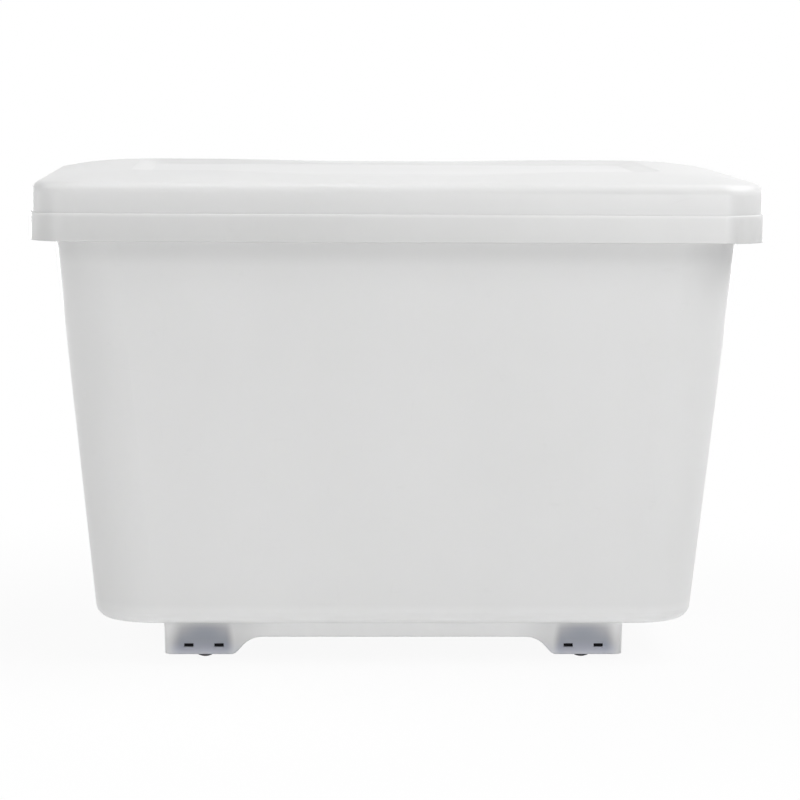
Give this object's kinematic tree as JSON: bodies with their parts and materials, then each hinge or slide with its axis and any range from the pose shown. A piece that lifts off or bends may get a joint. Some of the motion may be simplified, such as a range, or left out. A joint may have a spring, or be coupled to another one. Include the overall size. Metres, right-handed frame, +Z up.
{
  "type": "rolling ingredient bin",
  "caption": "Milky white rectangular ingredient bin with drafted walls, a stepped rim and a crowned lift-off lid, on small casters recessed in the feet of its plinth.",
  "frame": {"origin": "on the floor under the middle of the bin", "axes": "+X along the bin's length, +Y from its front to its back, +Z up"},
  "size_m": [0.6, 0.4, 0.4108],
  "materials": {
    "natural_plastic": "milky natural polypropylene, satin",
    "cassette_plastic": "dark moulded plastic",
    "wheel_plastic": "black moulded plastic",
    "axle_steel": "plain drawn steel"
  },
  "bodies": {
    "tub": {"tub": "natural_plastic", "caster_frame_front_left": "cassette_plastic", "caster_frame_front_right": "cassette_plastic", "caster_frame_rear_left": "cassette_plastic", "caster_frame_rear_right": "cassette_plastic", "axle_front_left": "axle_steel", "axle_front_right": "axle_steel", "axle_rear_left": "axle_steel", "axle_rear_right": "axle_steel"},
    "lid": {"lid": "natural_plastic"},
    "wheel_front_left": {"wheel_front_left": "wheel_plastic"},
    "wheel_front_right": {"wheel_front_right": "wheel_plastic"},
    "wheel_rear_left": {"wheel_rear_left": "wheel_plastic"},
    "wheel_rear_right": {"wheel_rear_right": "wheel_plastic"}
  },
  "joints": [
    {"name": "lid_lift", "type": "slide", "parent": "tub", "child": "lid", "axis": [0, 0, 1], "range_m": [0, 0.35]},
    {"name": "wheel_front_left_spin", "type": "hinge", "parent": "tub", "child": "wheel_front_left", "pos_m": [-0.1588, -0.0937, 0.0125], "axis": [0, 1, 0], "continuous": true},
    {"name": "wheel_front_right_spin", "type": "hinge", "parent": "tub", "child": "wheel_front_right", "pos_m": [0.1588, -0.0937, 0.0125], "axis": [0, 1, 0], "continuous": true},
    {"name": "wheel_rear_left_spin", "type": "hinge", "parent": "tub", "child": "wheel_rear_left", "pos_m": [-0.1588, 0.0937, 0.0125], "axis": [0, 1, 0], "continuous": true},
    {"name": "wheel_rear_right_spin", "type": "hinge", "parent": "tub", "child": "wheel_rear_right", "pos_m": [0.1588, 0.0937, 0.0125], "axis": [0, 1, 0], "continuous": true}
  ]
}
